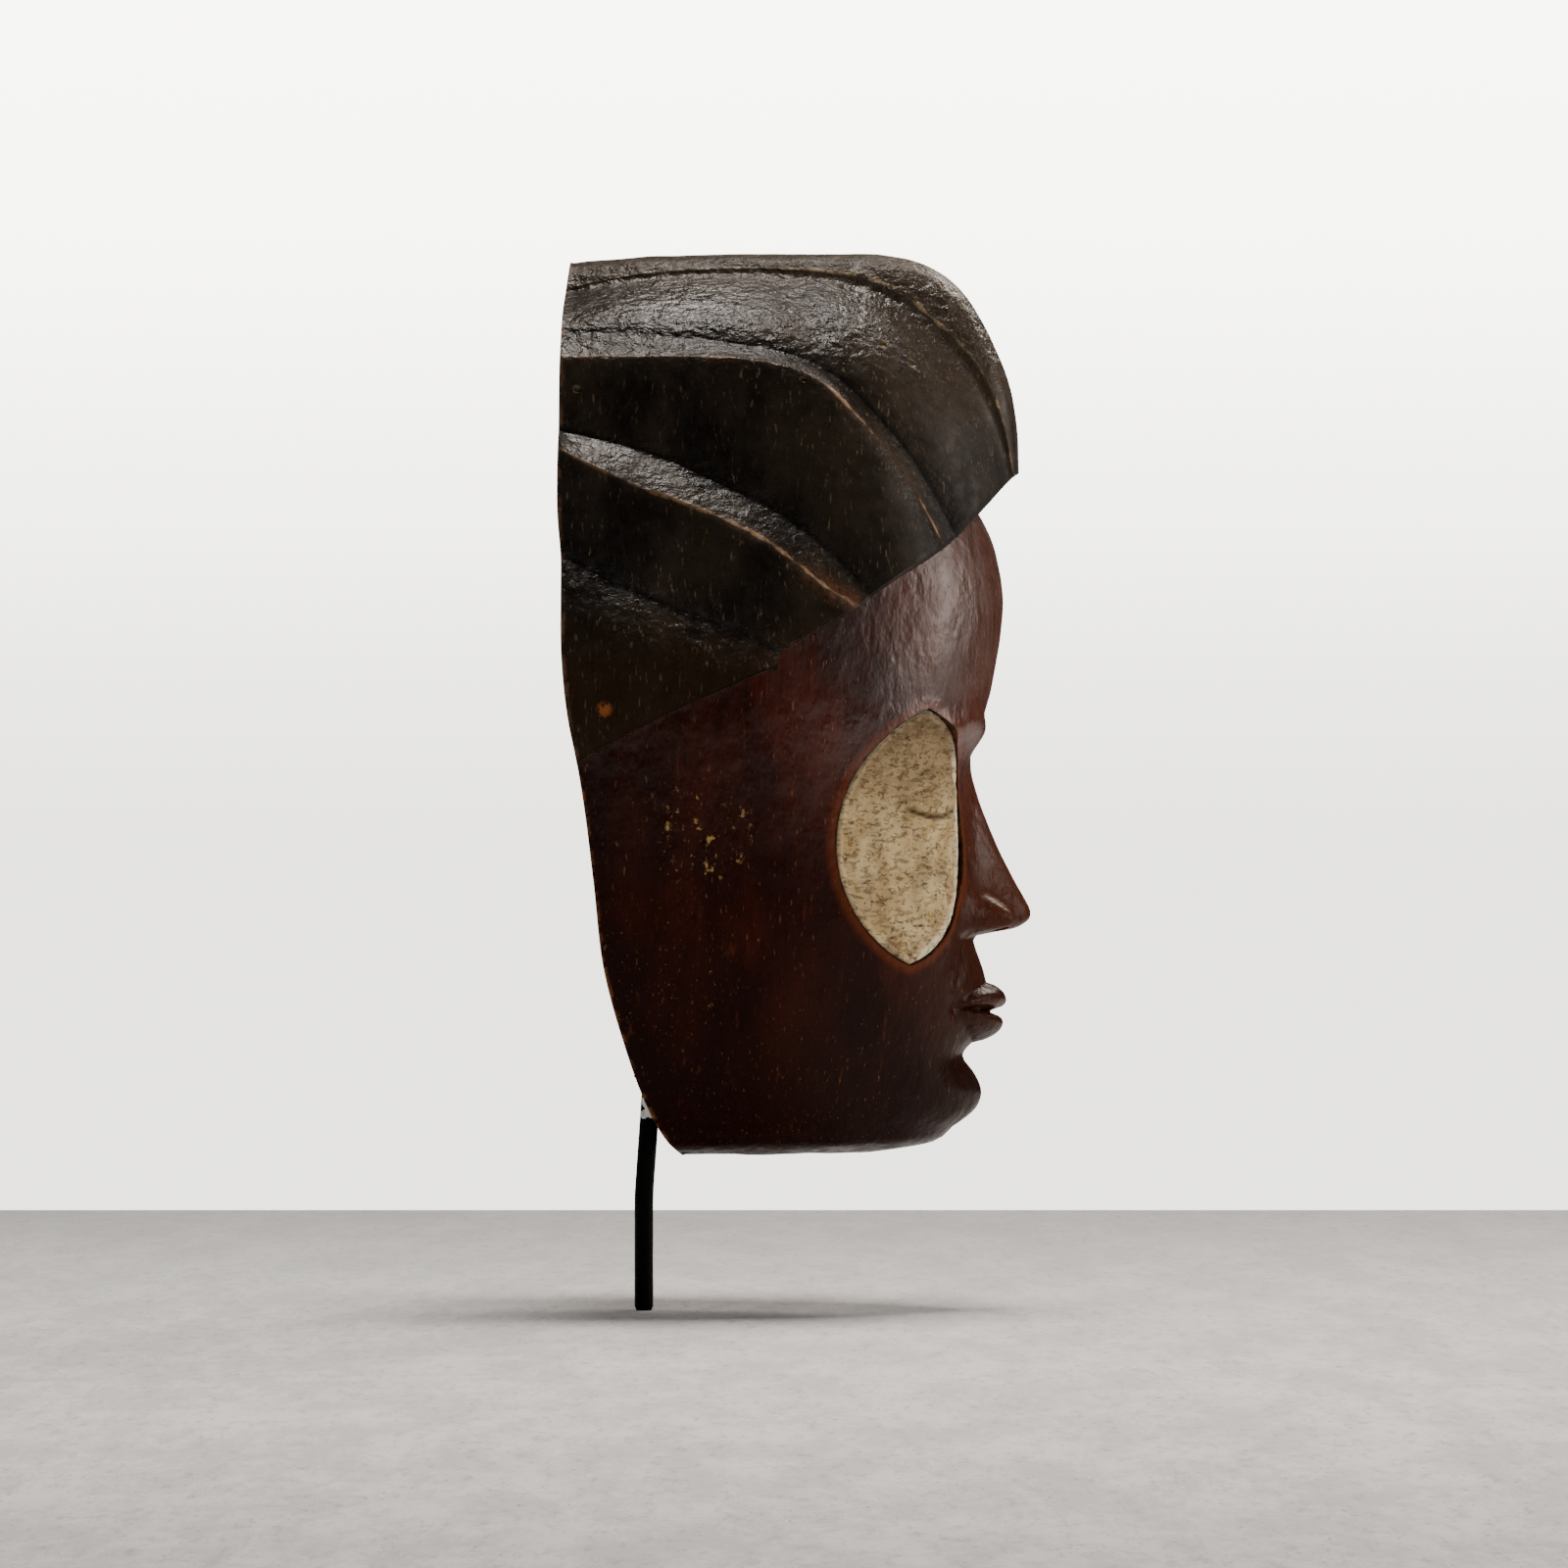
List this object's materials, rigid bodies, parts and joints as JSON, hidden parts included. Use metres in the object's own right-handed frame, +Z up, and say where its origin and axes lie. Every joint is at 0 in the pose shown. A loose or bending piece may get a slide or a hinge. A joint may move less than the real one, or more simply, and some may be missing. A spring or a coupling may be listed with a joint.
{
  "type": "carved wooden face mask on a display rod",
  "caption": "Carved dark wood face mask with a layered coiffure, pale clay eye panels and a hollow back, on a bent steel rod that plugs into a base.",
  "frame": {"origin": "on the axis of the display rod, at the rod's lower end", "axes": "+Z up along the rod's straight foot, the face looks along -Y, +X is the mask's own left side"},
  "size_m": [0.15, 0.1514, 0.332],
  "materials": {
    "carved_wood": "dark stained and polished hardwood, near black and waxed on the coiffure",
    "kaolin": "dry pitted clay coat",
    "black_rod": "matte black paint on steel",
    "clip_steel": "matte black paint on bent steel strip",
    "felt": "dense grey felt",
    "screw_brass": "dull round-head brass",
    "glue": "dried pale adhesive"
  },
  "bodies": {
    "root": {"mask_body": "carved_wood", "kaolin_right": "kaolin", "kaolin_left": "kaolin", "mount_rod": "black_rod", "saddle_clip": "clip_steel", "felt_liner": "felt", "clip_screws": "screw_brass", "socket_glue": "glue", "glue_bead": "glue"}
  },
  "joints": []
}
